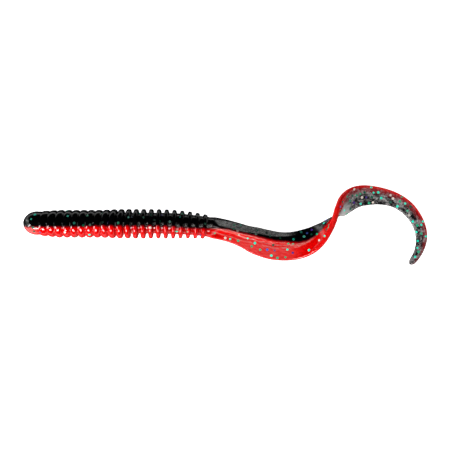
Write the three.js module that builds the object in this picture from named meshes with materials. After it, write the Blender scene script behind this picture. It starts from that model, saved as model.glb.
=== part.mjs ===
// Soft plastic ribbon-tail worm, lying on its side on a flat surface.
// Millimetres and degrees, +Z up. The nose points to -X, the black back to +Y and the red belly
// to -Y. The worm is a black layer and a red layer bonded together. It flexes all along, so both
// layers are cut across into short lengths at the places where the worm bends.

import * as THREE from 'three';

// ---- Driving dimensions ----

const LENGTH = 179;               // nose to tail tip, measured along the worm
const START = { x: -76.19, y: 0.7 };    // nose, which centres the worm on the origin
const NOSE_DOME = 5;              // length of the rounded nose
const NOSE_FLAT = 0.2;            // the dome is trimmed here, which leaves the round seat
const BELLY_START = 0.12;         // share of the dome where the red layer begins
const TIP_ROUND = 1.5;            // length of the rounded tail tip
const TIP_TRIM = 0.1;             // the tip ends in a small flat

const FIRST_RIB = 8.35;
const RIB_PITCH = 2.83;
const RIB_COUNT = 22;
const CREST_HALF = 0.12;          // half the flat top of a rib, as a share of the pitch
const FLANK_HALF = 0.36;          // half the foot of a rib, as a share of the pitch

const LAYER_GAP = 0.3;            // clearance between the black and the red solid
const CUT_GAP = 0.3;              // clearance between neighbouring lengths
const BLADE_HALF = 0.6;           // half the thickness of the ribbon
const BLADE_EDGE = 0.5;           // width of the ribbon's rounded edge
const REST_FLAT = 9;              // half the angle of the flat on the underside of each rib

const RIBS_TO_TAIL = [69, 74];    // the round body turns into the ribbon between these stations
const THICKEST = 1.6;             // most that the ribbon's thickness may be of a round section's
const FLANK_INSET = 0.3;          // the flank starts to fall this far before the ridge
const DOME_RINGS = [0.1, 0.26, 0.52, 1];   // sections of the dome, as shares of its length
const TIP_RINGS = [1, 0.5, 0.25];          // sections of the tip, as shares of its length
const SKIN_ROUGHNESS = 0.18;

const STEP = 0.25;                // step of the centre line's running sum
const TAIL_RING = 3;              // distance between the tail's sections
const MARGIN = 0.05;              // least distance between two sections

// Stations along the worm, each [distance from the nose, value].
const HEADING = [
  [0, 0], [45, 0], [64, -5.8], [74, -12], [84, -21], [91, -16.3], [98, -3.2], [106, 18.6],
  [113, 41], [119, 50.6], [125, 50], [131, 34.4], [137, 6], [146, -13.6], [155, -42.8], [164, -73],
  [171, -105], [179, -136],
];
const AXIS_HEIGHT = [
  [0, 4.55], [2, 4.55], [8.5, 4.65], [14, 4.95], [28, 4.98], [37, 5.28], [44, 5.28], [54, 5.22],
  [60, 5.03], [65, 4.72], [69, 4.4], [76, 4.0], [84, 3.4], [92, 2.95], [99, 2.8], [106, 3.5],
  [112, 4.4], [118, 4.95], [124, 4.9], [128, 3.8], [132, 2.2], [136, 1.1], [141, 0.65], [179, 0.62],
];
// Radius of the rib grooves, then half the width of the tail.
const HALF_WIDTH = [
  [0, 4.4], [5, 4.4], [10, 4.2], [34, 4.12], [40, 3.87], [57, 3.93], [63, 3.77], [69, 3.7],
  [72, 4.04], [77, 4.03], [83, 4.3], [88, 5.09], [94, 5.41], [100, 5.36], [106, 5.3], [116, 5.05],
  [124, 4.72], [130, 4.3], [137, 3.95], [144, 3.25], [150, 2.84], [156, 2.65], [162, 2.41],
  [167, 2.25], [172, 1.77], [179, 1.14],
];
const TWIST = [
  [0, 0], [101, 0], [106, 13], [111, 36], [116, 62], [120, 81], [123, 100], [126, 126], [130, 153],
  [134, 170], [139, 180], [179, 180],
];
// How much further the ribs stand out at the red edge than at the black edge.
const BELLY_LOBE = [[7, 0.2], [14, 0.5], [54, 0.5], [60, 0.3], [70, 0.2]];
// Where the red layer meets the black one, measured from the centre line towards the back.
const LAYER_PLANE = [
  [0, -1.25], [60, -1.25], [66, -0.85], [70, -0.4], [76, 0.6], [81, 1.05], [87, 1.8], [93, 2.1],
  [99, 2.1], [106, 0.8], [112, 0.2], [122, 0.2], [132, -1.8], [138, -1.7], [150, -1.1],
  [158, -1.1], [167, -1.5], [179, -1.5],
];
// The spine that the body leaves along the black edge of the ribbon: half its height, then how far
// its ridge and the foot of its steep flank are from that edge.
const RIDGE_HALF = [
  [70, 4.0], [77, 3.35], [83, 2.7], [88, 2.2], [94, 1.75], [100, 1.35], [106, 0.95], [113, 0.5],
];
const RIDGE = [[70, 4.0], [80, 4.0], [89, 3.7], [99, 3.6], [106, 3.4], [113, 3.0]];
const FOOT = [[70, 8.2], [75, 6.4], [80, 5.1], [89, 5.3], [99, 5.5], [108, 5.0]];
// Half the thickness of the rounded bead along the red edge of the ribbon.
const BEAD_HALF = [[96, 0.6], [106, 0.85], [114, 1.1], [124, 1.2], [131, 1.0], [139, 0.6], [179, 0.5]];

// The lengths, from the nose, and the bending joint at the far end of each.
// A swing turns the rest of the worm about +Z, and a lift raises it about the width direction.
const LENGTHS = [
  { name: 'head', end: grooveAfter(4), joint: 'swing', limits: [-20, 20] },
  { name: 'shoulder', end: grooveAfter(9), joint: 'lift', limits: [0, 20] },
  { name: 'middle', end: grooveAfter(14), joint: 'swing', limits: [-20, 20] },
  { name: 'waist', end: grooveAfter(19), joint: 'lift', limits: [0, 20] },
  { name: 'hip', end: 78, joint: 'swing', limits: [-20, 20] },
  { name: 'tail_root', end: 90, joint: 'lift', limits: [0, 30] },
  { name: 'tail_blade', end: 102, joint: 'swing', limits: [-20, 20] },
  { name: 'tail_turn', end: 122, joint: 'swing', limits: [-35, 35] },
  { name: 'tail_edge', end: 137.5, joint: 'lift', limits: [0, 40] },
  { name: 'curl_start', end: 148.5, joint: 'swing', limits: [-15, 35] },
  { name: 'curl_middle', end: 158, joint: 'lift', limits: [0, 45] },
  { name: 'curl_end', end: 167, joint: 'swing', limits: [-10, 35] },
  { name: 'tip', end: LENGTH - TIP_TRIM },
];

// ---- Curves along the worm ----

function grooveAfter(rib) {
  return FIRST_RIB + (rib + 0.5) * RIB_PITCH;
}

// Smooth curve through the stations that never overshoots them, level beyond both ends.
function smooth(stations, s) {
  const last = stations.length - 1;
  if (s <= stations[0][0]) return stations[0][1];
  if (s >= stations[last][0]) return stations[last][1];
  const chord = (i) => (stations[i + 1][1] - stations[i][1]) / (stations[i + 1][0] - stations[i][0]);
  const slope = (i) => {
    if (i === 0) return chord(0);
    if (i === last) return chord(last - 1);
    const product = chord(i - 1) * chord(i);
    return product > 0 ? (2 * product) / (chord(i - 1) + chord(i)) : 0;
  };
  let i = 0;
  while (s > stations[i + 1][0]) i += 1;
  const span = stations[i + 1][0] - stations[i][0];
  const t = (s - stations[i][0]) / span;
  const rise = t * t * (3 - 2 * t);
  return stations[i][1] * (1 - rise) + stations[i + 1][1] * rise
    + span * t * (1 - t) * (slope(i) * (1 - t) - slope(i + 1) * t);
}

function tangentAt(s) {
  const heading = THREE.MathUtils.degToRad(smooth(HEADING, s));
  const climb = (smooth(AXIS_HEIGHT, s + STEP / 2) - smooth(AXIS_HEIGHT, s - STEP / 2)) / STEP;
  const level = Math.sqrt(1 - climb * climb);
  return new THREE.Vector3(Math.cos(heading) * level, Math.sin(heading) * level, climb);
}

function runCentreLine() {
  const line = [new THREE.Vector3(START.x, START.y, 0)];
  for (let i = 0; i < LENGTH / STEP; i += 1) {
    line.push(line[i].clone().addScaledVector(tangentAt((i + 0.5) * STEP), STEP));
  }
  return line;
}

const CENTRE_LINE = runCentreLine();

// Centre, tangent, width direction (towards the back) and thickness direction at a station.
function frameAt(s) {
  const i = Math.min(Math.floor(s / STEP), CENTRE_LINE.length - 2);
  const centre = CENTRE_LINE[i].clone().lerp(CENTRE_LINE[i + 1], s / STEP - i);
  centre.z = smooth(AXIS_HEIGHT, s);
  const tangent = tangentAt(s);
  const left = new THREE.Vector3(-tangent.y, tangent.x, 0).normalize();
  const up = tangent.clone().cross(left);
  const twist = THREE.MathUtils.degToRad(smooth(TWIST, s));
  const across = left.clone().multiplyScalar(Math.cos(twist)).addScaledVector(up, -Math.sin(twist));
  const through = left.clone().multiplyScalar(Math.sin(twist)).addScaledVector(up, Math.cos(twist));
  return { centre, tangent, left, across, through };
}

// ---- Cross-sections ----

// Shares of the way round, from the plane between the layers to the outer edge.
const BACK = { side: 1, shares: [0, 0.05, 0.2, 0.45, 0.7, 0.9], color: 0x1a171b };
const BELLY = { side: -1, shares: [0, 0.25, 0.55, 0.85], color: 0xc8141a };
const TIP_BACK = { ...BACK, whole: true };
const WIDEST_REACH = degrees(165);

// Half the width of the section, with the nose dome and the round tip.
function halfWidth(s, onCrest) {
  const groove = smooth(HALF_WIDTH, s);
  if (s < NOSE_DOME) return groove * Math.sqrt(1 - (1 - s / NOSE_DOME) ** 2);
  if (s > LENGTH - TIP_ROUND) {
    return groove * Math.sqrt(Math.max(0, 1 - ((s - LENGTH + TIP_ROUND) / TIP_ROUND) ** 2));
  }
  return onCrest ? smooth(AXIS_HEIGHT, s) / Math.cos(degrees(REST_FLAT)) : groove;
}

function degrees(angle) {
  return THREE.MathUtils.degToRad(angle);
}

// 0 below low, 1 above high, smooth between.
function ramp(low, high, x) {
  return THREE.MathUtils.smoothstep(x, low, high);
}

// Half the thickness of the ribbon at distance a from the centre line: spine, blade and bead.
function ribbonHalf(s, a, w) {
  const fromEdge = w - a;
  const ridge = smooth(RIDGE, s);
  const shoulder = Math.sqrt(1 - Math.max(0, 1 - fromEdge / ridge) ** 2);
  const flank = 1 - ramp(ridge - FLANK_INSET, smooth(FOOT, s), fromEdge);
  const spine = smooth(RIDGE_HALF, s) * shoulder * flank;
  const inset = Math.min(1, (w - Math.abs(a)) / BLADE_EDGE);
  const blade = BLADE_HALF * Math.sqrt(Math.max(0, 1 - (1 - inset) ** 2));
  const radius = smooth(BEAD_HALF, s);
  const bead = Math.sqrt(Math.max(0, radius ** 2 - (a + w - radius) ** 2));
  return Math.max(spine, blade, bead);
}

// Half the thickness at distance a from the centre line, in a section of half width w.
function halfThickness(s, a, w) {
  const round = Math.sqrt(Math.max(0, w * w - a * a));
  if (s < RIBS_TO_TAIL[0]) return Math.min(round, smooth(AXIS_HEIGHT, s));
  const share = ramp(...RIBS_TO_TAIL, s);
  return round + (Math.min(ribbonHalf(s, a, w), round * THICKEST) - round) * share;
}

// One closed outline, as [a, b] pairs. The shares run from the layer plane to the outer edge.
function outline(s, onCrest, layer) {
  const w = halfWidth(s, onCrest);
  const plane = smooth(LAYER_PLANE, s) + (layer.side * LAYER_GAP) / 2;
  const reach = layer.whole ? WIDEST_REACH : Math.acos((layer.side * plane) / w);
  const lobe = onCrest && layer.side < 0 ? smooth(BELLY_LOBE, s) : 0;
  const near = layer.shares.map((share) => {
    const toEdge = Math.cos(reach * (1 - share));
    const reached = w + lobe * toEdge;
    const a = layer.side * reached * toEdge;
    return [a, halfThickness(s, a, reached)];
  });
  const far = near.map(([a, b]) => [a, -b]).reverse();
  const loop = [...near, ...far];
  return layer.side > 0 ? loop : loop.reverse();
}

// ---- Solids ----

// How far an end face stands back from its joint, so that it just closes at the joint's limit.
function standBack(frame, cut, point) {
  const axis = cut.joint === 'swing' ? new THREE.Vector3(0, 0, 1) : frame.left.clone().negate();
  const toClosing = axis.cross(frame.tangent).normalize();
  const reach = point.clone().sub(frame.centre).dot(toClosing);
  const limit = reach > 0 ? cut.limits[1] : -cut.limits[0];
  return CUT_GAP / 2 + Math.abs(reach) * Math.tan(degrees(limit / 2));
}

function place(frame, [a, b]) {
  return frame.centre.clone().addScaledVector(frame.across, a).addScaledVector(frame.through, b);
}

// A ring of points at a station. At a cut, side is 1 for the length after it and -1 before it.
function ring(section, layer, side, cut) {
  const frame = frameAt(section.s);
  const points = outline(section.s, section.crest, layer).map((pair) => place(frame, pair));
  const middle = points.reduce((sum, p) => sum.add(p), new THREE.Vector3()).divideScalar(points.length);
  if (cut) {
    for (const point of [...points, middle]) {
      point.addScaledVector(frame.tangent, side * standBack(frame, cut, point));
    }
  }
  return { points, middle };
}

// Room that a sloping end face takes up along the worm.
function clearance(cut) {
  if (!cut) return MARGIN;
  const limit = Math.max(...cut.limits);
  return MARGIN + CUT_GAP / 2 + smooth(HALF_WIDTH, cut.end) * Math.tan(degrees(limit / 2));
}

// Stations of a length's sections, ends included, clear of its end faces.
function sectionsBetween(start, end, before, after) {
  const sections = [];
  const first = start + clearance(before);
  const last = end - clearance(after);
  const add = (s, crest) => {
    if (s > first && s < last) sections.push({ s, crest });
  };
  for (const share of DOME_RINGS) add(NOSE_DOME * share, false);
  for (let i = 0; i < RIB_COUNT; i += 1) {
    const middle = FIRST_RIB + i * RIB_PITCH;
    add(middle - FLANK_HALF * RIB_PITCH, false);
    add(middle - CREST_HALF * RIB_PITCH, true);
    add(middle + CREST_HALF * RIB_PITCH, true);
    add(middle + FLANK_HALF * RIB_PITCH, false);
  }
  const tailStart = FIRST_RIB + RIB_COUNT * RIB_PITCH;
  for (let s = tailStart; s < LENGTH - TIP_ROUND; s += TAIL_RING) add(s, false);
  for (const share of TIP_RINGS) add(LENGTH - TIP_ROUND * share, false);
  return [{ s: start, crest: false }, ...sections, { s: end, crest: false }];
}

// Closed solid through the rings, with a fan of triangles over each end.
function loft(rings) {
  const count = rings[0].points.length;
  const points = rings.flatMap((r) => r.points);
  points.push(rings[0].middle, rings[rings.length - 1].middle);
  const index = [];
  for (let r = 0; r + 1 < rings.length; r += 1) {
    for (let i = 0; i < count; i += 1) {
      const here = r * count + i;
      const next = r * count + ((i + 1) % count);
      index.push(here, here + count, next, next, here + count, next + count);
    }
  }
  const lastRing = (rings.length - 1) * count;
  const firstMiddle = rings.length * count;
  for (let i = 0; i < count; i += 1) {
    const next = (i + 1) % count;
    index.push(firstMiddle, i, next);
    index.push(firstMiddle + 1, lastRing + next, lastRing + i);
  }
  const geometry = new THREE.BufferGeometry().setFromPoints(points);
  geometry.setIndex(index);
  geometry.computeVertexNormals();
  return geometry;
}

// One layer of one length of the worm.
function layerOfLength(name, layer, start, end, before, after) {
  const sections = sectionsBetween(start, end, before, after);
  const rings = sections.map((section, i) => {
    if (i === 0 && before) return ring(section, layer, 1, before);
    if (i === sections.length - 1 && after) return ring(section, layer, -1, after);
    return ring(section, layer, 0, null);
  });
  const material = new THREE.MeshStandardMaterial({
    color: layer.color, roughness: SKIN_ROUGHNESS, metalness: 0,
  });
  const mesh = new THREE.Mesh(loft(rings), material);
  mesh.name = name;
  return mesh;
}

function worm() {
  const group = new THREE.Group();
  LENGTHS.forEach((length, i) => {
    const before = LENGTHS[i - 1];
    const after = length.joint ? length : null;
    const start = before ? before.end : NOSE_FLAT;
    const layer = after ? BACK : TIP_BACK;
    group.add(layerOfLength(`back_${length.name}`, layer, start, length.end, before, after));
    if (!after) return;
    const bellyStart = before ? start : NOSE_DOME * BELLY_START;
    group.add(layerOfLength(`belly_${length.name}`, BELLY, bellyStart, length.end, before, after));
  });
  return group;
}

export default worm();
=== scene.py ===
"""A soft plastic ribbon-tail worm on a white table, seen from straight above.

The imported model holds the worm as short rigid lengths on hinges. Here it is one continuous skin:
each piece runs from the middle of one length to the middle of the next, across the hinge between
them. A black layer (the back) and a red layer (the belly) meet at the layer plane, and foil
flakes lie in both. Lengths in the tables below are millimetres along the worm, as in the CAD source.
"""
import math

import bpy
import numpy as np
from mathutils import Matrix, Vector
from mathutils.bvhtree import BVHTree


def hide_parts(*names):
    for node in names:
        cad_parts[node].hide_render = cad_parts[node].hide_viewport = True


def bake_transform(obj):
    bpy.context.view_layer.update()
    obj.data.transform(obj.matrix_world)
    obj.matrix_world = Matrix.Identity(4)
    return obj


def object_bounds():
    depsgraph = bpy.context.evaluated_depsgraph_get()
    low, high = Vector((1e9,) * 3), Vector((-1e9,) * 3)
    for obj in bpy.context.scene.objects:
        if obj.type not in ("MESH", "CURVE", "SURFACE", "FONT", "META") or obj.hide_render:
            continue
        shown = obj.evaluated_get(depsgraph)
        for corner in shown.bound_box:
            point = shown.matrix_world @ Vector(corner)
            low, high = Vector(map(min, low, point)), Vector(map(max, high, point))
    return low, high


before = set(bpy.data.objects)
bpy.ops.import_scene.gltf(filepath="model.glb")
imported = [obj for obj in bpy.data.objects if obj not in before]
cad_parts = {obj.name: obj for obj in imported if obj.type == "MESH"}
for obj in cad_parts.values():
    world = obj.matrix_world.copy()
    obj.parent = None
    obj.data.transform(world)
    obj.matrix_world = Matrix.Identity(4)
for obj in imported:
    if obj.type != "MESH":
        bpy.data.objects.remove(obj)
cad_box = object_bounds()

MM = 0.001

# ---- The worm's driving dimensions, the same as in the CAD source (mm and degrees) ----

LENGTH = 179
START = (-76.19, 0.7)
NOSE_DOME = 5
TIP_ROUND = 1.5
FIRST_RIB = 8.35
RIB_PITCH = 2.83
RIB_COUNT = 22
BLADE_HALF = 0.6
BLADE_EDGE = 0.5

HEADING = [
    (0, 0), (45, 0), (64, -5.8), (74, -12), (84, -21), (91, -16.3), (98, -3.2), (106, 18.6),
    (113, 41), (119, 50.6), (125, 50), (131, 34.4), (137, 6), (146, -13.6), (155, -42.8),
    (164, -73), (171, -105), (179, -136),
]
AXIS_HEIGHT = [
    (0, 4.55), (2, 4.55), (8.5, 4.65), (14, 4.95), (28, 4.98), (37, 5.28), (44, 5.28), (54, 5.22),
    (60, 5.03), (65, 4.72), (69, 4.4), (76, 4.0), (84, 3.4), (92, 2.95), (99, 2.8), (106, 3.5),
    (112, 4.4), (118, 4.95), (124, 4.9), (128, 3.8), (132, 2.2), (136, 1.1), (141, 0.65),
    (179, 0.62),
]
HALF_WIDTH = [
    (0, 4.4), (5, 4.4), (10, 4.2), (34, 4.12), (40, 3.87), (57, 3.93), (63, 3.77), (69, 3.7),
    (72, 4.04), (77, 4.03), (83, 4.3), (88, 5.09), (94, 5.41), (100, 5.36), (106, 5.3),
    (116, 5.05), (124, 4.72), (130, 4.3), (137, 3.95), (144, 3.25), (150, 2.84), (156, 2.65),
    (162, 2.41), (167, 2.25), (172, 1.77), (179, 1.14),
]
TWIST = [
    (0, 0), (101, 0), (106, 13), (111, 36), (116, 62), (120, 81), (123, 100), (126, 126),
    (130, 153), (134, 170), (139, 180), (179, 180),
]
# How much further the ribs stand out at the red edge than at the black edge.
BELLY_LOBE = [(7, 0.2), (14, 0.5), (54, 0.5), (60, 0.3), (70, 0.2)]
# Where the two layers meet: distance from the axis, counted towards the black edge.
LAYER_PLANE = [
    (0, -1.25), (60, -1.25), (66, -0.85), (70, -0.4), (76, 0.6), (81, 1.05), (87, 1.8), (93, 2.1),
    (99, 2.1), (106, 0.8), (112, 0.2), (122, 0.2), (132, -1.8), (138, -1.7), (150, -1.1),
    (158, -1.1), (167, -1.5), (179, -1.5),
]

# ---- The skin's own finer shape (mm) ----

# Rounded lobes with sharp creases near the head turn into narrow fins with flat grooves.
# RIB_HALF is half a rib's length as a share of the pitch.
RIB_HALF = [(0, 0.5), (30, 0.5), (36, 0.45), (42, 0.37), (48, 0.33), (56, 0.3), (72, 0.28)]
RIB_SHARPNESS = [(0, 2.2), (32, 2.2), (46, 3.5), (72, 3.5)]
# The rings lean: their black side sits this far nearer the tail.
RIB_LEAN = [(0, 0.35), (32, 0.35), (46, 0.1), (72, 0)]
# The spine along the black edge of the ribbon. RIDGE, FOOT and the facet's two sides are distances
# from the black edge: a flat facet climbs to the ridge, and a steep flank drops to the flat blade.
RIDGE_HALF = [
    (70, 4.0), (77, 3.35), (83, 2.7), (88, 2.2), (94, 1.75), (100, 1.35), (106, 0.95), (113, 0.5),
]
RIDGE = [(70, 4.0), (80, 4.0), (89, 3.7), (99, 3.6), (106, 3.4), (113, 3.0)]
FOOT = [(70, 8.2), (75, 6.4), (80, 5.1), (89, 5.3), (99, 5.5), (108, 5.0)]
SPINE_SHARPNESS = 2.2
# The flank begins to drop this far before the ridge.
FLANK_LEAD = 0.3
# The tail is never thicker than this times a round section of its width.
THICKEST = 1.6
FACET_OUTER = [(70, 1.0), (76, 0.45), (81, 0.2), (88, 0.1), (100, 0.05)]
FACET_INNER = [(70, 2.9), (76, 2.8), (81, 2.7), (87, 2.25), (93, 2.0), (99, 1.5)]
# Half the facet's thickness at its outer side. It starts in a short step that slants across the worm.
FACET_EDGE_HALF = 0.45
FACET_START = 70.7
FACET_SLANT = 1.9
FACET_STEP = 0.8
# Fine raised lines along the flank, as distances from the black edge.
UPPER_LINE = [
    (70, 3.4), (76, 3.8), (81, 3.7), (87, 3.8), (93, 4.3), (98, 4.0), (106, 5.3), (112, 5.2),
]
MIDDLE_LINE = [(70, 4.2), (81, 4.5), (87, 4.95), (93, 5.1), (98, 4.9), (106, 5.6), (112, 5.3)]
LOWER_LINE = [(70, 5.6), (81, 6.0), (87, 6.15), (93, 6.3), (98, 6.0), (106, 5.9), (112, 5.5)]
# Each line: its place, and half its width.
LINES = [(UPPER_LINE, 0.3), (MIDDLE_LINE, 0.35), (LOWER_LINE, 0.22)]
LINE_RISE = 0.16
# A line wavers by this much, at this many radians a millimetre, each line in its own phase.
LINE_WAVE = 0.08
LINE_WAVE_RATE = 0.9
LINE_WAVE_PHASE = 5
# The fat rounded bead along the red edge of the ribbon.
BEAD_HALF = [(96, 0.6), (106, 0.85), (114, 1.1), (124, 1.2), (131, 1.0), (139, 0.6), (179, 0.5)]
# The sink mark on the nose. Its wall, lip and shade lie at shares of its radius from its centre.
DIMPLE = {"station": 2.1, "across": 0.4, "radius": 1.0, "depth": 0.5, "wall": (0.35, 0.9),
          "lip": 0.16, "lip_at": 1.1, "lip_width": 0.2, "shade": (0.5, 1.0)}
# The line between the layers wanders in waves: height in mm, radians a millimetre, phase.
WANDER = [(0.07, 1.9, 0), (0.05, 4.3, 1)]
# How far the red creeps up a rib.
CREEP = 0.45
# The layer plane stays inside this share of the half width, and a width counts as at least this.
PLANE_LIMIT = 0.985
NARROWEST = 0.3
# Near the tip the black reaches this many degrees round from its own edge.
BLACK_REACH = 172
RIBS_END = FIRST_RIB + RIB_COUNT * RIB_PITCH

# ---- Stretches over which something comes or goes: from station, to station ----

BODY_TO_TAIL = (69, 74)
NOSE_GOES = (3, 7.5)
CREASES_COME = (6, 10)
FINS_COME = (30, 40)
CREEP_COMES = (18, 30)
CREEP_GOES = (52, 66)
LINES_COME = (69, 73)
LINES_GO = (107, 113)
FACET_GOES = (97, 106)
BLADE_COMES = (76, 84)
BLADE_GOES = (98, 106)
TURN_COMES = (102, 112)
TURN_GOES = (132, 140)
NEAR_SMOKE_COMES = (112, 119)
FAR_SMOKE_COMES = (112, 118)
SMOKE_EVERYWHERE = (126, 134)
TURN_HIGHLIGHT_COMES = (119, 123)
TURN_HIGHLIGHT_GOES = (126.5, 132)
RED_GOES = (164, 173)
TIP_BLACK_COMES = (165, 173)

# ---- Where the worm bends, and the cuts halfway between ----


def groove_after(rib):
    """Station of the groove behind a rib, counting ribs from 0."""
    return FIRST_RIB + (rib + 0.5) * RIB_PITCH


BODIES = ["head", "shoulder", "middle", "waist", "hip", "tail_root", "tail_blade", "tail_turn",
          "tail_edge", "curl_start", "curl_middle", "curl_end", "tip"]
JOINTS = [groove_after(4), groove_after(9), groove_after(14), groove_after(19), 78, 90, 102, 122,
          137.5, 148.5, 158, 167]
SEAMS = [0, groove_after(7), groove_after(12), groove_after(17), groove_after(21), 84, 96, 111, 130,
         143, 153.25, 162.5, LENGTH]

# ---- Mesh ----

BACK_COLUMNS = 84
BELLY_COLUMNS = 56
BODY_STEP = 0.19
TAIL_STEP = 0.4
# The axis is summed up in steps of this length.
AXIS_STEP = 0.05
# Rows on the nose and on the tip. The last one stops this many degrees short of the very end.
END_ROWS = 36
END_TURN = 3
MASKS = ["depth", "smoke", "rim", "fin", "groove", "crease", "facet", "line", "blade", "fade",
         "turn_highlight", "nose", "dimple"]

# ---- Glitter ----

SEED = 7
FLAKE_RADIUS = 0.52
FLAKE_SIZES = (0.8, 1.1)
FLAKE_RAISE = 0.03
FLAKE_APART = 1.5
# From station, to station, number of flakes.
FLAKES = [(3, 70, 90), (72, 122, 95), (122, 176, 90)]
# Throws for each flake wanted, at most.
FLAKE_TRIES = 30
FLAKE_CORNERS = 6
# A flake is its middle and its corners, once on top and once underneath.
FLAKE_VERTICES = 2 * (FLAKE_CORNERS + 1)
# Flakes keep to this share of the ribbon's half width.
FLAKE_SPREAD = 0.9
# Up to here the black plastic is dense, and dims the flakes in it.
BURIED_END = 112
BURIED_LIGHT = (0.05, 0.4)
OPEN_LIGHT = (0.85, 1.05)
FLAKE_COLOURS = {
    "cyan": (0.0, 1.0, 0.68),
    "green": (0.0, 0.42, 0.2),
    "dark": (0.0, 0.1, 0.06),
    "blue": (0.0, 0.05, 0.6),
    "violet": (0.06, 0.01, 0.22),
    "cream": (0.8, 0.68, 0.6),
}
FLAKE_SHARES = [("cyan", 8), ("green", 7), ("dark", 3), ("blue", 1), ("violet", 1), ("cream", 2)]

# ---- Colours ----

BLACK = (0.0002, 0.0002, 0.0003, 1)
SOOT = (0.0015, 0.0015, 0.002, 1)
FIN_GREY = (0.03, 0.034, 0.034, 1)
DARK_RED = (0.09, 0.0, 0.002, 1)
SMOKE_DARK = (0.006, 0.006, 0.007, 1)
SMOKE_PALE = (0.2, 0.19, 0.19, 1)
SMOKE_AND_HIGHLIGHT_WHITE = (0.5, 0.5, 0.49, 1)
SMOKE_RED = (0.33, 0.008, 0.014, 1)
LINE_HIGHLIGHT_GREY = (0.3, 0.24, 0.24, 1)
TICK_HIGHLIGHT_GREY = (0.22, 0.21, 0.2, 1)
LINE_HIGHLIGHT_PINK = (0.66, 0.22, 0.2, 1)
NOSE_SALMON = (0.82, 0.13, 0.12, 1)
FROST_DARK = (0.028, 0.03, 0.029, 1)
FROST_SHEEN_PALE = (0.2, 0.205, 0.2, 1)
DIMPLE_AND_SHEEN_GREY = (0.12, 0.14, 0.13, 1)
RED = (0.8, 0.0, 0.0, 1)
RED_DEEP = (0.55, 0.0, 0.0, 1)
RED_GROOVE_SHADE = (0.42, 0.0, 0.0, 1)
SALMON = (0.9, 0.09, 0.08, 1)
BLADE_DEEP = (0.7, 0.014, 0.014, 1)
BLADE_RED = (0.78, 0.075, 0.07, 1)
FOIL_SHINE = (0.6, 0.9, 0.8, 1)
TABLE_GREY = (0.9, 0.9, 0.9, 1)
TABLE_WHITE = (0.94, 0.94, 0.94, 1)
WHITE = (1, 1, 1, 1)

# ---- How the looks show in the materials ----

# Noise patterns: stretch along, across and through the worm, then scale, detail and roughness.
PATTERNS = {
    "black_grain": ((1, 1, 1), 2.2, 4, 0.5),
    "red_grain": ((1, 1, 1), 2.0, 4, 0.5),
    "foil_grain": ((1, 1, 1), 1.7, 2, 0.5),
    "fibre": ((1.1, 1.3, 1.3), 1.3, 5, 0.7),
    "cloud": ((0.33, 0.6, 0.6), 1.2, 3, 0.6),
    "scribble": ((1.1, 2.6, 1), 1.3, 5, 0.75),
    "breaks": ((0.35, 2, 2), 2.0, 3, 0.5),
    "thinness": ((0.3, 1.5, 1.5), 2.0, 4, 0.6),
}
# How much of the colour beneath it each look covers.
COVER = {"fin": 0.7, "bleed": 0.85, "bright": 0.9, "turn_highlight": 0.85, "tick": 0.8, "dimple": 0.6,
         "groove": 0.8, "rim": 0.6, "dark": 0.9}
# Distances in from the worm's edge, and for FOOT_WIDTH beyond the foot of the flank (mm).
RIM_WIDTH = 0.9
FIN_EDGE = (0.1, 0.8)
CURL_RIM = (0.3, 1.6)
FOOT_WIDTH = 0.6
# Distances from the layer plane (mm).
BLEED_DEPTH = 0.35
VEIL_DEPTH = 1.5
TICKS_START = (0.1, 0.5)
TICKS_STOP = (0.9, 1.8)
DARK_DEPTH = 0.9
# A crease is where a rib has risen by less than this share.
CREASE_SHARE = 0.5
# The facet's borders are this soft, as a share of its width.
FACET_SOFT = 0.06
# The smoke's streaks are fibre by this share, and the rest is cloud.
FIBRE_SHARE = 0.45
# How smoky the near face is until the smoke is everywhere, and how much rim shows on the turn.
NEAR_SMOKE = 0.5
TURN_RIM = 0.15
# The gloss, and the depths of the bump and of the glow in the red (m).
PLASTIC_IOR = 1.47
BUMP_STRENGTH = 0.3
BUMP_DEPTH = 0.00012
GLOW_DEPTH = 0.0006
TABLE_GRAIN = 40

# ---- Studio, in metres and watts ----

TABLE_HALF = 2.0
TABLE_THICK = 0.02
# The table top lies a hair below the worm, and glows so that it comes out plain white.
TABLE_DROP = 0.0001
TABLE_GLOW = 1.0
# Each lamp: name, place, width, height, power, seen in reflections.
LAMPS = [
    ("overhead", (-0.05, 0.1, 0.6), 0.5, 0.5, 2.1, False),
    ("near_softbox", (-0.17, -0.4, 0.3), 0.26, 0.12, 2.2, True),
    ("left_softbox", (-0.42, -0.14, 0.2), 0.08, 0.24, 1.1, True),
]
# The plastic mirrors a soft band of light below the horizon in place of the table. Its limits are
# heights of a unit direction.
BAND_LOW = -0.5
BAND_MIDDLE = -0.27
BAND_HIGH = -0.05
BAND_GLOW = 1.4
WORLD_DIM = 0.01
# The sensor is in millimetres. The frame is FRAME_TO_WORM times as wide as the worm is long, and the
# camera stands CAMERA_SIDE along X from the worm's middle.
SENSOR = 36
CAMERA_HEIGHT = 0.35
CLIP_START = 0.01
FRAME_TO_WORM = 1.124
CAMERA_SIDE = -0.00064


# ---- Curves ----

def smooth(table, s):
    """Value at s on a curve through the table's stations that never overshoots them."""
    x, y = np.array(table, float).T
    chord = np.diff(y) / np.diff(x)
    product = chord[:-1] * chord[1:]
    total = np.where(product > 0, chord[:-1] + chord[1:], 1)
    inner = np.where(product > 0, 2 * product / total, 0)
    slope = np.concatenate(([chord[0]], inner, [chord[-1]]))
    s = np.clip(s, x[0], x[-1])
    i = np.clip(np.searchsorted(x, s, side="right") - 1, 0, len(x) - 2)
    span = x[i + 1] - x[i]
    t = (s - x[i]) / span
    rise = t * t * (3 - 2 * t)
    bend = span * t * (1 - t) * (slope[i] * (1 - t) - slope[i + 1] * t)
    return y[i] * (1 - rise) + y[i + 1] * rise + bend


def ramp(low, high, x):
    """0 below low, 1 above high, smooth between."""
    t = np.clip((x - low) / (high - low), 0, 1)
    return t * t * (3 - 2 * t)


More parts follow.
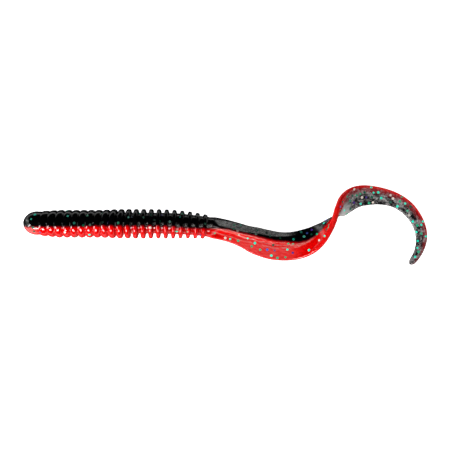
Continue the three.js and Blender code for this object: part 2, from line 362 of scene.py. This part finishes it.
def tangent(s):
    """Unit direction of the worm's axis at each station."""
    heading = np.radians(smooth(HEADING, s))
    climb = (smooth(AXIS_HEIGHT, s + AXIS_STEP) - smooth(AXIS_HEIGHT, s - AXIS_STEP)) / (2 * AXIS_STEP)
    level = np.sqrt(1 - climb**2)
    return np.stack([np.cos(heading) * level, np.sin(heading) * level, climb], axis=-1)


def centre_line(s):
    """Points on the worm's axis, in mm."""
    middle = np.arange(AXIS_STEP / 2, LENGTH, AXIS_STEP)
    steps = tangent(middle) * AXIS_STEP
    run = np.concatenate([[[0, 0, 0]], np.cumsum(steps, axis=0)])
    at = np.arange(len(run)) * AXIS_STEP
    x = START[0] + np.interp(s, at, run[:, 0])
    y = START[1] + np.interp(s, at, run[:, 1])
    return np.stack([x, y, smooth(AXIS_HEIGHT, s)], axis=-1)


def section_frames(s):
    """Centre, width direction (towards the back) and thickness direction at each station."""
    forward = tangent(s)
    left = np.stack([-forward[:, 1], forward[:, 0], 0 * s], axis=-1)
    left /= np.linalg.norm(left, axis=1, keepdims=True)
    up = np.cross(forward, left)
    twist = np.radians(smooth(TWIST, s))[:, None]
    across = np.cos(twist) * left - np.sin(twist) * up
    through = np.sin(twist) * left + np.cos(twist) * up
    return centre_line(s), across, through


# ---- Shape of the cross-section ----

def rib_share(s):
    """1 on the crest of a rib and 0 in the groove between two."""
    index = np.round((s - FIRST_RIB) / RIB_PITCH)
    offset = np.abs((s - FIRST_RIB) / RIB_PITCH - index)
    half = smooth(RIB_HALF, s)
    lobe = np.clip(1 - np.clip(offset / half, 0, 1) ** smooth(RIB_SHARPNESS, s), 0, 1) ** 0.5
    ribbed = (index >= 0) & (index < RIB_COUNT)
    return np.where(ribbed, lobe, 0)


def half_width(s, angle=math.pi / 2):
    """Distance from the axis to the worm's edge, with its ribs, domed nose and round tip. The ribs'
    lean and lobes depend on the angle from the black edge.
    """
    groove = smooth(HALF_WIDTH, s)
    leaning = s - smooth(RIB_LEAN, s) * np.cos(angle)
    crest = smooth(AXIS_HEIGHT, s) + smooth(BELLY_LOBE, s) * np.clip(-np.cos(angle), 0, 1)
    width = groove + (crest - groove) * rib_share(leaning)
    dome = np.sqrt(np.clip(1 - (1 - np.clip(s / NOSE_DOME, 0, 1)) ** 2, 0, 1))
    end = np.clip((s - LENGTH + TIP_ROUND) / TIP_ROUND, 0, 1)
    return width * dome * np.sqrt(1 - end**2)


def facet_cut(s, from_edge):
    """How far the facet has cut in, 0 to 1, and how far up it the point is: 0 outside, 1 inside."""
    outer, inner = smooth(FACET_OUTER, s), smooth(FACET_INNER, s)
    climb = (from_edge - outer) / (inner - outer)
    begun = s - FACET_SLANT * np.clip(climb, 0, 1) - FACET_START
    return ramp(0, FACET_STEP, begun) * (1 - ramp(*FACET_GOES, s)), climb


def line_share(s, from_edge):
    """1 on the middle of a raised line on the flank, 0 away from them."""
    share = np.zeros(np.broadcast(s, from_edge).shape)
    for place, half in LINES:
        phase = LINE_WAVE_PHASE * place[0][1]
        wave = LINE_WAVE * np.sin(LINE_WAVE_RATE * s + phase)
        share = np.maximum(share, 1 - ramp(0, half, np.abs(from_edge - smooth(place, s) - wave)))
    return share * ramp(*LINES_COME, s) * (1 - ramp(*LINES_GO, s))


def half_thickness(s, a, w):
    """Half the thickness at distance a from the axis, in a section of half width w."""
    circle = np.sqrt(np.clip(w**2 - a**2, 0, None))
    from_edge = w - a
    height, ridge, foot = smooth(RIDGE_HALF, s), smooth(RIDGE, s), smooth(FOOT, s)
    shoulder = np.sqrt(1 - np.clip(1 - from_edge / ridge, 0, 1) ** SPINE_SHARPNESS)
    flank = 1 - ramp(ridge - FLANK_LEAD, foot, from_edge)
    cut, climb = facet_cut(s, from_edge)
    facet = FACET_EDGE_HALF + (height - FACET_EDGE_HALF) * climb
    spine = height * shoulder * flank
    spine = spine + (np.minimum(spine, np.maximum(facet, 0)) - spine) * cut
    inset = np.clip((w - np.abs(a)) / BLADE_EDGE, 0, 1)
    blade = BLADE_HALF * np.sqrt(1 - (1 - inset) ** 2)
    drawn = LINE_RISE * line_share(s, from_edge)
    bead = smooth(BEAD_HALF, s)
    bead = np.sqrt(np.clip(bead**2 - (a + w - bead) ** 2, 0, None))
    tail = np.minimum(np.maximum(np.maximum(spine, blade) + drawn, bead), circle * THICKEST)
    return circle + (tail - circle) * ramp(*BODY_TO_TAIL, s)


def layer_plane(s):
    """Where the layers meet: it wanders a little, and the red creeps up the ribs."""
    wander = sum(height * np.sin(rate * s + phase) for height, rate, phase in WANDER)
    creep = CREEP * rib_share(s) * ramp(*CREEP_COMES, s) * (1 - ramp(*CREEP_GOES, s))
    return smooth(LAYER_PLANE, s) + wander + creep


def back_reach(s, w):
    """Angle from the black edge to the layer plane. Near the tip the red narrows to a thin rim."""
    plane = np.clip(layer_plane(s) / np.maximum(w, NARROWEST), -PLANE_LIMIT, PLANE_LIMIT)
    reach = np.arccos(plane)
    return reach + (math.radians(BLACK_REACH) - reach) * ramp(*TIP_BLACK_COMES, s)


# ---- The whole skin as one grid ----

def skin_points(s, angle):
    """Points of the skin at stations s and angles from the black edge, with their place in the section:
    distance from the axis across and through the worm, and half the width there.
    """
    w = half_width(s, angle)
    a = w * np.cos(angle)
    b = np.sign(np.sin(angle)) * half_thickness(s, a, w)
    centre, across, through = section_frames(s)
    return centre + a[:, None] * across + b[:, None] * through, a, b, w


def rows_between(start, end):
    """Stations from start up to end, closer together on the ribs than on the ribbon."""
    step = BODY_STEP if start < RIBS_END else TAIL_STEP
    return np.linspace(start, end, math.ceil((end - start) / step), endpoint=False)


def row_stations():
    """All rows of the skin, with rows in even turns of the dome at both ends."""
    turn = np.radians(np.linspace(END_TURN, 90, END_ROWS, endpoint=False))
    nose = NOSE_DOME * (1 - np.cos(turn))
    tip = (LENGTH - TIP_ROUND * (1 - np.cos(turn)))[::-1]
    stops = [NOSE_DOME] + SEAMS[1:-1] + [LENGTH - TIP_ROUND]
    middle = [rows_between(a, b) for a, b in zip(stops[:-1], stops[1:])]
    return np.concatenate([nose] + middle + [[stops[-1]], tip])


def skin_grid():
    """Vertex grid of the skin: rows along the worm, columns round it, starting on the layer plane."""
    s = row_stations()
    reach = back_reach(s, half_width(s))[:, None]
    back = np.linspace(-1, 1, BACK_COLUMNS, endpoint=False) * reach
    belly = reach + np.linspace(0, 1, BELLY_COLUMNS, endpoint=False) * 2 * (math.pi - reach)
    angle = np.concatenate([back, belly], axis=1)
    rows = np.broadcast_to(s[:, None], angle.shape)
    points, a, b, w = skin_points(rows.ravel(), angle.ravel())
    shape = angle.shape
    grid = {"rows": rows, "points": points.reshape(*shape, 3)}
    grid.update(a=a.reshape(shape), b=b.reshape(shape), w=w.reshape(shape))
    press_dimple(grid)
    grid["normals"] = grid_normals(grid["points"])
    return grid


def grid_faces(grid):
    """Every face of the skin, as corner indices into the grid's points."""
    rows, columns = grid["a"].shape
    index = np.arange(rows * columns).reshape(rows, columns)
    right = np.roll(index, -1, axis=1)
    corners = np.stack([index[:-1], right[:-1], right[1:], index[1:]], axis=-1)
    return corners.reshape(-1, 4).tolist()


def grid_normals(points):
    """Outward direction of the skin at each point of the grid."""
    along = np.gradient(points, axis=0)
    around = (np.roll(points, -1, axis=1) - np.roll(points, 1, axis=1)) / 2
    normal = np.cross(around, along)
    length = np.linalg.norm(normal, axis=2, keepdims=True)
    return normal / np.maximum(length, 1e-12)


def press_dimple(grid):
    """The shallow round sink mark with a raised lip on the side of the nose."""
    offset = np.hypot(grid["rows"] - DIMPLE["station"], grid["a"] - DIMPLE["across"])
    nearest = np.argmin(np.where(grid["b"] > 0, offset, np.inf))
    row, column = np.unravel_index(nearest, offset.shape)
    centre = grid["points"][row, column]
    distance = np.linalg.norm(grid["points"] - centre, axis=2) / DIMPLE["radius"]
    sink = DIMPLE["depth"] * (1 - ramp(*DIMPLE["wall"], distance))
    lip = DIMPLE["lip"] * np.exp(-(((distance - DIMPLE["lip_at"]) / DIMPLE["lip_width"]) ** 2))
    grid["points"] = grid["points"] + (lip - sink)[..., None] * grid_normals(grid["points"])
    grid["dimple"] = 1 - ramp(*DIMPLE["shade"], distance)


# ---- Meshes ----

def closed_strip(grid, first, last, columns, name):
    """Closed solid over rows first to last and some columns, with a flat side on the layer plane."""
    strip = {key: values[first:last + 1][:, columns] for key, values in grid.items()}
    rows, count = strip["a"].shape
    index = np.arange(rows * count).reshape(rows, count)
    quads = np.stack([index[:-1, :-1], index[:-1, 1:], index[1:, 1:], index[1:, :-1]], axis=-1)
    wall = np.stack([index[:-1, -1], index[:-1, 0], index[1:, 0], index[1:, -1]], axis=-1)
    faces = quads.reshape(-1, 4).tolist() + wall.tolist()
    faces += [index[0, ::-1].tolist(), index[-1].tolist()]
    skin_faces = quads.shape[0] * quads.shape[1]
    mesh = bpy.data.meshes.new(name)
    mesh.from_pydata((strip["points"].reshape(-1, 3) * MM).tolist(), [], faces)
    mesh.polygons.foreach_set("use_smooth", [i < skin_faces for i in range(len(faces))])
    mesh.update()
    set_normals(mesh, strip["normals"].reshape(-1, 3), skin_faces)
    for mask in MASKS:
        store(mesh, mask, "FLOAT", "value", strip[mask])
    place = np.stack([strip["rows"], strip["a"], strip["b"]], axis=-1)
    store(mesh, "place", "FLOAT_VECTOR", "vector", place)
    return mesh


def set_normals(mesh, vertex_normals, skin_faces):
    """The skin's shading runs on across the cuts between pieces, while caps and walls stay flat."""
    vertex = np.zeros(len(mesh.loops), int)
    mesh.loops.foreach_get("vertex_index", vertex)
    starts = np.zeros(len(mesh.polygons), int)
    mesh.polygons.foreach_get("loop_start", starts)
    flat = np.zeros(len(mesh.polygons) * 3)
    mesh.polygons.foreach_get("normal", flat)
    face = np.searchsorted(starts, np.arange(len(vertex)), side="right") - 1
    on_skin = (face < skin_faces)[:, None]
    normals = np.where(on_skin, vertex_normals[vertex], flat.reshape(-1, 3)[face])
    mesh.normals_split_custom_set(normals.tolist())


def store(mesh, name, kind, field, values):
    """Keeps one value for each vertex, for the materials to read."""
    attribute = mesh.attributes.new(name, kind, "POINT")
    attribute.data.foreach_set(field, np.asarray(values, np.float32).ravel())


# ---- Where the plastic is thin, frosted or pale ----

def add_masks(grid):
    """Values at each vertex that steer the materials: depth is in mm, and the others are 0 to 1."""
    s, a, w = grid["rows"], grid["a"], grid["w"]
    near_side = grid["b"] > 0
    ribbed = s < RIBS_END
    edge = w - np.abs(a)
    from_black_edge = w - a
    from_red_edge = w + a
    # Depth: distance from the layer plane, positive in the black.
    grid["depth"] = a - layer_plane(s)
    # Smoke: the black layer of the thin ribbon lets light through.
    near_smoke = NEAR_SMOKE * ramp(*NEAR_SMOKE_COMES, s)
    smoke = np.where(near_side, near_smoke, ramp(*FAR_SMOKE_COMES, s))
    grid["smoke"] = np.maximum(smoke, ramp(*SMOKE_EVERYWHERE, s))
    # Turn highlight: a highlight painted pale over the smoke beside the turn.
    grid["turn_highlight"] = ramp(*TURN_HIGHLIGHT_COMES, s) * (1 - ramp(*TURN_HIGHLIGHT_GOES, s))
    # Rim: thin plastic at the outer edge of the lobes, fins and ribbon, but less of it on the turn.
    turn = ramp(*TURN_COMES, s) * (1 - ramp(*TURN_GOES, s))
    grid["rim"] = (1 - ramp(0, RIM_WIDTH, edge)) * (1 - (1 - TURN_RIM) * turn)
    # Fins, the grooves between them, where the red is painted darker as shade, and the creases between
    # all ribs.
    rib = rib_share(s)
    grid["fin"] = rib * ramp(*FINS_COME, s) * (1 - ramp(*FIN_EDGE, edge)) * ribbed
    grid["groove"] = (1 - rib) * ramp(*FINS_COME, s) * ribbed
    grid["crease"] = (1 - ramp(0, CREASE_SHARE, rib)) * ramp(*CREASES_COME, s) * ribbed
    grid["nose"] = 1 - ramp(*NOSE_GOES, s)
    # Line: the raised lines on the flank, where highlights are painted. Facet: the frosted flat cut
    # along the spine, where a sheen is painted.
    grid["line"] = line_share(s, from_black_edge) * near_side
    cut, climb = facet_cut(s, from_black_edge)
    inside = ramp(-FACET_SOFT, FACET_SOFT, climb) * (1 - ramp(1 - FACET_SOFT, 1 + FACET_SOFT, climb))
    grid["facet"] = cut * inside * near_side
    # Blade: the flat red part of the ribbon beside the spine.
    flat = ramp(0, FOOT_WIDTH, from_black_edge - smooth(FOOT, s))
    grid["blade"] = flat * ramp(*BLADE_COMES, s) * (1 - ramp(*BLADE_GOES, s))
    # Fade: on the curl, red at the edge turns to smoke inside, and at the tip everywhere.
    fade = ramp(*SMOKE_EVERYWHERE, s) * ramp(*CURL_RIM, from_red_edge) + ramp(*RED_GOES, s)
    grid["fade"] = np.minimum(fade, 1)


# ---- Materials ----

class Nodes:
    """A node tree, with short calls for the nodes used here."""

    def __init__(self, owner):
        owner.use_nodes = True
        self.tree = owner.node_tree

    def add(self, kind, inputs=None, **settings):
        """A new node with some of its inputs linked or set."""
        node = self.tree.nodes.new(kind)
        for name, value in settings.items():
            setattr(node, name, value)
        for name, value in (inputs or {}).items():
            self.put(node.inputs[name], value)
        return node

    def put(self, socket, value):
        """Links the value to a socket if it is another socket, and otherwise sets it."""
        if isinstance(value, bpy.types.NodeSocket):
            self.tree.links.new(value, socket)
        else:
            socket.default_value = value

    def set(self, node_name, **values):
        """Sets inputs of a node that the tree already has."""
        for name, value in values.items():
            self.put(self.tree.nodes[node_name].inputs[name.replace("_", " ")], value)

    def math(self, operation, x, y):
        """The operation's result for two numbers or sockets."""
        return self.add("ShaderNodeMath", {0: x, 1: y}, operation=operation).outputs[0]

    def times(self, x, y):
        return self.math("MULTIPLY", x, y)

    def ramp(self, x, low, high, start=0.0, end=1.0):
        """From start at low to end at high, smooth between."""
        inputs = {"Value": x, "From Min": low, "From Max": high, "To Min": start, "To Max": end}
        node = self.add("ShaderNodeMapRange", inputs, interpolation_type="SMOOTHSTEP")
        return node.outputs["Result"]


class Plastic(Nodes):
    """A material's node tree, with short calls for the worm's masks and noise patterns."""

    def __init__(self, name):
        self.material = bpy.data.materials.new(name)
        super().__init__(self.material)

    def surface(self, **values):
        """Sets inputs of the material's shader."""
        self.set("Principled BSDF", **values)

    def mask(self, name):
        """One of the values kept at the vertices."""
        return self.add("ShaderNodeAttribute", attribute_name=name).outputs["Fac"]

    def cover(self, name, amount):
        """The amount, scaled by how much this look covers."""
        return self.times(amount, COVER[name])

    def noise(self, vector, scale, detail, roughness=0.5):
        """Fractal noise, about 0.5 in the middle."""
        inputs = {"Vector": vector, "Scale": scale, "Detail": detail, "Roughness": roughness}
        return self.add("ShaderNodeTexNoise", inputs).outputs["Fac"]

    def pattern(self, name):
        """Noise that is laid along the worm, so that it bends with it."""
        stretch, scale, detail, roughness = PATTERNS[name]
        place = self.add("ShaderNodeAttribute", attribute_name="place").outputs["Vector"]
        stretched = self.add("ShaderNodeVectorMath", {0: place, 1: stretch}, operation="MULTIPLY")
        return self.noise(stretched.outputs[0], scale, detail, roughness)

    def mix(self, factor, under, over):
        """The colour under, covered by the colour over as far as the factor says."""
        node = self.add("ShaderNodeMix", data_type="RGBA")
        self.put(node.inputs["Factor"], factor)
        self.put(node.inputs["A"], under)
        self.put(node.inputs["B"], over)
        return node.outputs["Result"]

    def bump(self, height):
        """A surface direction that is tilted by fine relief."""
        inputs = {"Height": height, "Strength": BUMP_STRENGTH, "Distance": BUMP_DEPTH}
        return self.add("ShaderNodeBump", inputs).outputs["Normal"]


def smoky(m):
    """Thin smoky plastic with fine pale and dark streaks: its colour, and the streaks alone."""
    fibre = m.pattern("fibre")
    cloud = m.pattern("cloud")
    streak = m.math("ADD", m.times(fibre, FIBRE_SHARE), m.times(cloud, 1 - FIBRE_SHARE))
    smoke = m.mix(m.ramp(streak, 0.43, 0.57), SMOKE_DARK, SMOKE_PALE)
    bright = m.times(m.ramp(fibre, 0.48, 0.62), m.ramp(cloud, 0.45, 0.62))
    smoke = m.mix(m.cover("bright", bright), smoke, SMOKE_AND_HIGHLIGHT_WHITE)
    # A highlight is painted pale over the smoke beside the turn.
    return m.mix(m.cover("turn_highlight", m.mask("turn_highlight")), smoke, SMOKE_AND_HIGHLIGHT_WHITE), streak


def broken_line(m, low, high):
    """Where highlights are painted along the raised lines, broken up along their length."""
    return m.times(m.mask("line"), m.ramp(m.pattern("breaks"), low, high))


def black_plastic():
    """Near-black glossy plastic, smoky where the ribbon is thin, frosted and painted with a sheen on
    the facet.
    """
    m = Plastic("black_plastic")
    fine = m.pattern("black_grain")
    depth = m.mask("depth")
    facet = m.mask("facet")
    colour = m.mix(m.ramp(fine, 0.45, 0.75), BLACK, SOOT)
    colour = m.mix(m.cover("fin", m.mask("fin")), colour, FIN_GREY)
    # Red bleeds in beside the layer plane.
    colour = m.mix(m.cover("bleed", m.ramp(depth, 0, BLEED_DEPTH, 1, 0)), colour, DARK_RED)
    smoke, streak = smoky(m)
    veil = m.times(m.ramp(depth, 0, VEIL_DEPTH, 1, 0), m.ramp(streak, 0.3, 0.6, 1, 0.3))
    colour = m.mix(m.mask("smoke"), colour, m.mix(veil, smoke, SMOKE_RED))
    # The facet is frosted and rougher, and its pale grey is a painted sheen.
    scribble = m.pattern("scribble")
    frost_and_sheen = m.mix(m.ramp(scribble, 0.44, 0.58), FROST_DARK, FROST_SHEEN_PALE)
    colour = m.mix(facet, colour, frost_and_sheen)
    # Painted highlight along the raised lines on the flank.
    colour = m.mix(broken_line(m, 0.38, 0.55), colour, LINE_HIGHLIGHT_GREY)
    # Painted highlights: short pale ticks in the creases beside the red, where the black plastic is
    # thin.
    near = m.times(m.ramp(depth, *TICKS_START), m.ramp(depth, *TICKS_STOP, 1, 0))
    tick = m.times(m.times(m.mask("crease"), near), m.ramp(fine, 0.42, 0.56))
    colour = m.mix(m.cover("tick", tick), colour, TICK_HIGHLIGHT_GREY)
    # Painted reflection: a grey sheen is painted along the nose's thin edge.
    sheen = m.times(m.mask("nose"), m.ramp(m.mask("rim"), 0.1, 1))
    colour = m.mix(m.times(sheen, m.ramp(fine, 0.3, 0.7)), colour, DIMPLE_AND_SHEEN_GREY)
    colour = m.mix(m.cover("dimple", m.mask("dimple")), colour, DIMPLE_AND_SHEEN_GREY)
    rough = m.math("ADD", m.ramp(facet, 0, 1, 0.1, 0.6), m.ramp(fine, 0.3, 0.7, 0, 0.05))
    m.surface(Base_Color=colour, Roughness=rough, IOR=PLASTIC_IOR)
    m.surface(Coat_Weight=0.2, Coat_Roughness=0.05)
    m.surface(Normal=m.bump(m.math("ADD", fine, m.times(facet, scribble))))
    return m.material


def red_plastic():
    """Clear red plastic, deep on the body and paler on thin lobes and on the blade."""
    m = Plastic("red_plastic")
    fine = m.pattern("red_grain")
    colour = m.mix(m.ramp(fine, 0.35, 0.65), RED_DEEP, RED)
    # Painted shade: the red is darker in the grooves between the fins.
    colour = m.mix(m.cover("groove", m.mask("groove")), colour, RED_GROOVE_SHADE)
    colour = m.mix(m.cover("rim", m.mask("rim")), colour, SALMON)
    colour = m.mix(m.times(m.mask("nose"), m.ramp(fine, 0.25, 0.6)), colour, NOSE_SALMON)
    blade = m.mix(m.ramp(m.pattern("thinness"), 0.35, 0.7), BLADE_DEEP, BLADE_RED)
    colour = m.mix(m.mask("blade"), colour, blade)
    dark = m.cover("dark", m.ramp(m.mask("depth"), -DARK_DEPTH, 0))
    colour = m.mix(dark, colour, DARK_RED)
    # Painted highlight along the raised lines on the flank.
    colour = m.mix(broken_line(m, 0.36, 0.52), colour, LINE_HIGHLIGHT_PINK)
    smoke, streak = smoky(m)
    tinted = m.mix(m.ramp(streak, 0.35, 0.65, 0.75, 0.35), smoke, SMOKE_RED)
    colour = m.mix(m.mask("fade"), colour, tinted)
    m.surface(Base_Color=colour, Roughness=m.ramp(fine, 0.3, 0.7, 0.08, 0.14), IOR=PLASTIC_IOR)
    m.surface(Coat_Weight=0.4, Coat_Roughness=0.04)
    m.surface(Subsurface_Weight=0.15, Subsurface_Scale=GLOW_DEPTH)
    m.surface(Normal=m.bump(fine))
    return m.material


def foil():
    """Foil flakes under a skin of clear plastic, each with its own colour."""
    m = Plastic("glitter_foil")
    grain = m.pattern("foil_grain")
    tint = m.add("ShaderNodeAttribute", attribute_name="tint").outputs["Color"]
    colour = m.mix(m.ramp(grain, 0.4, 0.8, 0, 0.2), tint, FOIL_SHINE)
    m.surface(Base_Color=colour, Metallic=m.ramp(grain, 0.3, 0.7, 0, 0.2), Roughness=0.45)
    m.surface(Specular_IOR_Level=0.25)
    return m.material


# ---- Glitter ----

def flake_places(draw):
    """Station, angle and point of each flake, thrown at random but kept apart."""
    flakes = []
    for low, high, count in FLAKES:
        wanted = len(flakes) + count
        for _ in range(count * FLAKE_TRIES):
            s = draw.uniform(low, high)
            angle = draw.uniform(0, 2 * math.pi)
            if s > RIBS_END:
                # Even over the width of the flat ribbon, on either face.
                across = draw.uniform(-FLAKE_SPREAD, FLAKE_SPREAD)
                angle = math.acos(across) * (1 if draw.random() < 0.5 else -1)
            point = skin_points(np.array([s]), np.array([angle]))[0][0]
            if any(np.linalg.norm(point - other) < FLAKE_APART for _, _, other in flakes):
                continue
            flakes.append((s, angle, point))
            if len(flakes) == wanted:
                break
    return flakes


def flake_colour(draw, buried):
    """A flake's colour, dimmer where it is buried in black plastic."""
    names = [name for name, share in FLAKE_SHARES for _ in range(share)]
    colour = np.array(FLAKE_COLOURS[names[draw.integers(len(names))]])
    return colour * draw.uniform(*(BURIED_LIGHT if buried else OPEN_LIGHT))


def flake_points(centre, draw, tree):
    """A thin hexagon laid on the skin: the middle and corners of its top, then of its underside."""
    normal = tree.find_nearest(centre)[1]
    u = normal.orthogonal().normalized()
    v = normal.cross(u)
    corner_turn = 2 * math.pi / FLAKE_CORNERS
    start = draw.uniform(0, corner_turn)
    radius = FLAKE_RADIUS * draw.uniform(*FLAKE_SIZES)
    turns = [start + corner * corner_turn for corner in range(FLAKE_CORNERS)]
    corners = [centre + radius * (u * math.cos(turn) + v * math.sin(turn)) for turn in turns]
    top, under = [], []
    for point in [centre] + corners:
        spot, lift = tree.find_nearest(point)[:2]
        top.append(spot + lift * FLAKE_RAISE)
        under.append(spot - lift * FLAKE_RAISE)
    return top + under


def flake_faces(top):
    """Faces of a flake, where top is the index of its first vertex."""
    under = top + FLAKE_CORNERS + 1
    faces = []
    for i in range(1, FLAKE_CORNERS + 1):
        j = i % FLAKE_CORNERS + 1
        faces.append((top, top + i, top + j))
        faces.append((under, under + j, under + i))
        faces.append((top + i, under + i, under + j, top + j))
    return faces


def glitter_mesh(name, flakes, draw, tree):
    """One mesh of closed flakes, each with its colour and place kept at its vertices."""
    vertices, faces, tints, places = [], [], [], []
    for s, angle, point in flakes:
        faces += flake_faces(len(vertices))
        vertices += flake_points(Vector(point), draw, tree)
        buried = s < BURIED_END and half_width(s) * math.cos(angle) > layer_plane(s)
        tints += [flake_colour(draw, buried)] * FLAKE_VERTICES
        places += [(s, point[0], point[1])] * FLAKE_VERTICES
    mesh = bpy.data.meshes.new(name)
    mesh.from_pydata((np.array(vertices) * MM).tolist(), [], faces)
    store(mesh, "tint", "FLOAT_VECTOR", "vector", tints)
    store(mesh, "place", "FLOAT_VECTOR", "vector", places)
    mesh.update()
    return mesh


# ---- The worm ----

def show(mesh, material, replaced=()):
    """Links a piece with its material and hides the imported parts that it replaces."""
    piece = bpy.data.objects.new(mesh.name, mesh)
    bpy.context.scene.collection.objects.link(piece)
    mesh.materials.append(material)
    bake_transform(piece)
    if replaced:
        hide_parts(*replaced)


def build_worm():
    """The two layers and the glitter, each in one piece over each joint."""
    grid = skin_grid()
    add_masks(grid)
    tree = BVHTree.FromPolygons(grid["points"].reshape(-1, 3).tolist(), grid_faces(grid))
    draw = np.random.default_rng(SEED)
    back_columns = list(range(BACK_COLUMNS + 1))
    belly_columns = list(range(BACK_COLUMNS, BACK_COLUMNS + BELLY_COLUMNS)) + [0]
    layers = [
        ("back", back_columns, black_plastic(), "back_black"),
        ("belly", belly_columns, red_plastic(), "belly_red"),
    ]
    foil_material = foil()
    flakes = flake_places(draw)
    cuts = [int(np.argmin(np.abs(grid["rows"][:, 0] - seam))) for seam in SEAMS]
    for i in range(len(JOINTS)):
        span = f"{BODIES[i]}_to_{BODIES[i + 1]}"
        for layer, columns, material, slot in layers:
            mesh = closed_strip(grid, cuts[i], cuts[i + 1], columns, f"{layer}_{span}")
            nodes = [f"{layer}_{body}" for body in BODIES[i:i + 2]]
            show(mesh, material, [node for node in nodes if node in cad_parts])
        here = [flake for flake in flakes if SEAMS[i] <= flake[0] < SEAMS[i + 1]]
        show(glitter_mesh(f"glitter_{span}", here, draw, tree), foil_material)


# ---- Table, light and camera ----

def build_table():
    """A plain white table top."""
    mesh = bpy.data.meshes.new("table_top")
    half = TABLE_HALF
    top = [(-half, -half, 0), (half, -half, 0), (half, half, 0), (-half, half, 0)]
    under = [(x, y, -TABLE_THICK) for x, y, _ in top]
    sides = [(i, i + 4, (i + 1) % 4 + 4, (i + 1) % 4) for i in range(4)]
    mesh.from_pydata(top + under, [], [(0, 1, 2, 3), (7, 6, 5, 4)] + sides)
    table = bpy.data.objects.new("table_top", mesh)
    table.location.z = -TABLE_DROP
    bpy.context.scene.collection.objects.link(table)
    m = Plastic("white_table")
    grain = m.noise(m.add("ShaderNodeTexCoord").outputs["Object"], TABLE_GRAIN, 3)
    m.surface(Base_Color=m.mix(grain, TABLE_GREY, TABLE_WHITE), Roughness=0.8)
    m.surface(Emission_Color=WHITE, Emission_Strength=TABLE_GLOW)
    mesh.materials.append(m.material)
    table.visible_glossy = False


def build_light():
    """A soft light overhead and two softboxes, in a dim room."""
    for name, place, width, height, power, mirrored in LAMPS:
        light = bpy.data.lights.new(name, "AREA")
        light.shape = "RECTANGLE"
        light.size = width
        light.size_y = height
        light.energy = power
        lamp = bpy.data.objects.new(name, light)
        lamp.location = place
        lamp.rotation_euler = Vector(place).to_track_quat("Z", "Y").to_euler()
        lamp.visible_glossy = mirrored
        bpy.context.scene.collection.objects.link(lamp)


def build_room():
    """A dim room, bright only in a band below the horizon."""
    world = bpy.data.worlds.new("room")
    bpy.context.scene.world = world
    n = Nodes(world)
    direction = n.add("ShaderNodeTexCoord").outputs["Generated"]
    height = n.add("ShaderNodeSeparateXYZ", {0: direction}).outputs["Z"]
    band = n.times(n.ramp(height, BAND_LOW, BAND_MIDDLE), n.ramp(height, BAND_HIGH, BAND_MIDDLE))
    n.set("Background", Color=WHITE, Strength=n.math("ADD", n.times(band, BAND_GLOW), WORLD_DIM))


def build_camera(low, high):
    """Straight down on the middle of the worm, with the worm across most of the frame."""
    camera = bpy.data.cameras.new("above")
    camera.sensor_width = SENSOR
    camera.lens = SENSOR * CAMERA_HEIGHT / (FRAME_TO_WORM * (high.x - low.x))
    camera.clip_start = CLIP_START
    holder = bpy.data.objects.new("above", camera)
    middle = (low + high) / 2
    holder.location = (middle.x + CAMERA_SIDE, middle.y, CAMERA_HEIGHT)
    bpy.context.scene.collection.objects.link(holder)
    bpy.context.scene.camera = holder


bpy.context.scene.view_settings.view_transform = "Standard"
build_worm()
build_table()
build_light()
build_room()
build_camera(*cad_box)
